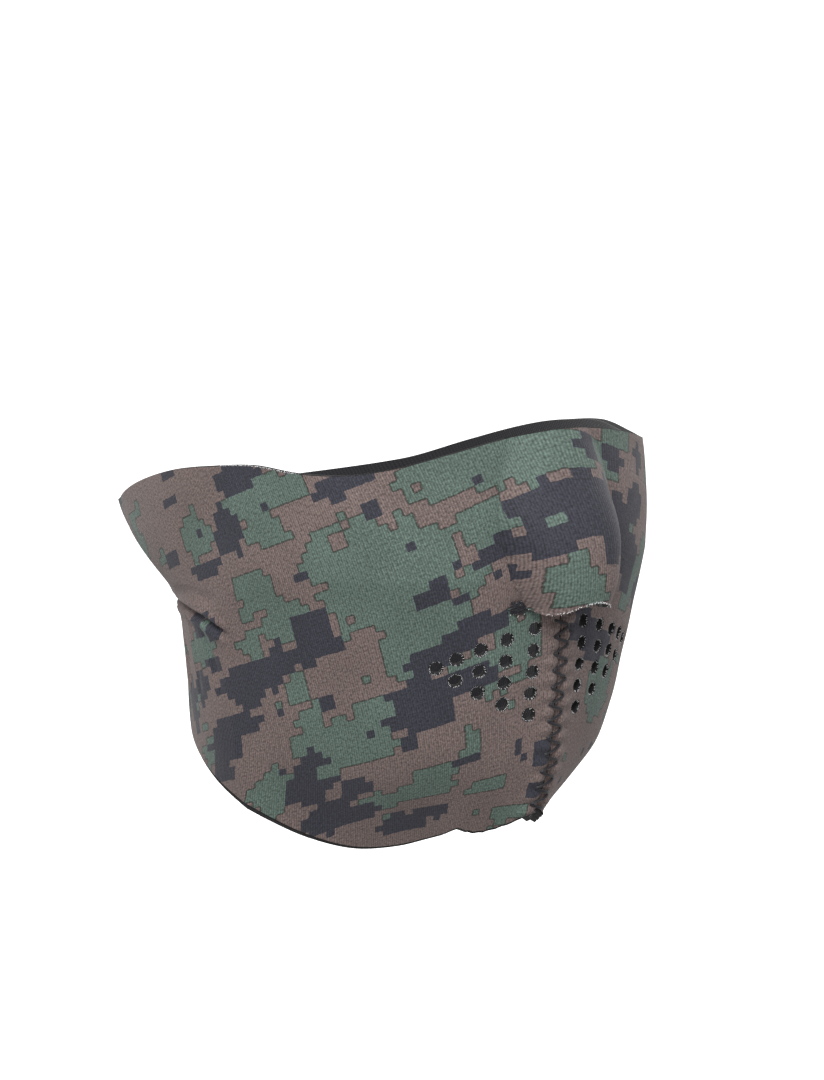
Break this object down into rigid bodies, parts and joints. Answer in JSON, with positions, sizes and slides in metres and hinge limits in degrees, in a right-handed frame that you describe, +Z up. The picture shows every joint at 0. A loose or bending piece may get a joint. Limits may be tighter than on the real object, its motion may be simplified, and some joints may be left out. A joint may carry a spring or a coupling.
{
  "type": "half-face mask",
  "caption": "Neoprene half-face mask with a digital camouflage print, a vented flap under the nose, breath holes, a sewn chin dart and a hook-and-loop strap.",
  "frame": {"origin": "middle of the wearer's head, midway between the ear canals", "axes": "+Z up, the face looks along -Y, the wearer's left is at +X"},
  "size_m": [0.1574, 0.2092, 0.1416],
  "materials": {
    "camo_fabric": "matt printed knit in green, brown and black blocks",
    "neoprene_core": "matt closed-cell foam",
    "black_lining": "matt black knit",
    "thread": "satin sewing thread",
    "hook_tape": "nylon hooks on woven tape",
    "loop_tape": "brushed nylon loops"
  },
  "bodies": {
    "face": {"face_outer_fabric": "camo_fabric", "face_foam_core": "neoprene_core", "face_lining": "black_lining", "chin_seam_outer_thread": "thread", "chin_seam_inner_thread": "thread", "slit_bar_tack_left": "thread", "slit_bar_tack_right": "thread"},
    "left_strap": {"left_strap_outer_fabric": "camo_fabric", "left_strap_foam_core": "neoprene_core", "left_strap_lining": "black_lining", "loop_patch": "loop_tape", "loop_patch_stitching": "thread"},
    "right_strap": {"right_strap_outer_fabric": "camo_fabric", "right_strap_foam_core": "neoprene_core", "right_strap_lining": "black_lining"},
    "closure_tab": {"closure_tab_outer_fabric": "camo_fabric", "closure_tab_foam_core": "neoprene_core", "closure_tab_lining": "black_lining", "hook_patch": "hook_tape", "hook_patch_stitching": "thread"}
  },
  "joints": [
    {"name": "right_strap_swing", "type": "hinge", "parent": "face", "child": "right_strap", "pos_m": [-0.07325, 0.01089, -0.0587], "axis": [-0.1426, 0.0183, 0.9896], "range_deg": [0, 75]},
    {"name": "left_strap_swing", "type": "hinge", "parent": "face", "child": "left_strap", "pos_m": [0.07325, 0.01089, -0.0587], "axis": [-0.1426, -0.0183, -0.9896], "range_deg": [0, 37.5]},
    {"name": "closure_tab_peel", "type": "hinge", "parent": "right_strap", "child": "closure_tab", "pos_m": [0.00525, 0.089, -0.06201], "axis": [0.0233, 0.3591, 0.933], "range_deg": [0, 110]}
  ],
  "couplings": [
    {"joint": "left_strap_swing", "follows": "right_strap_swing", "ratio": 0.5}
  ]
}
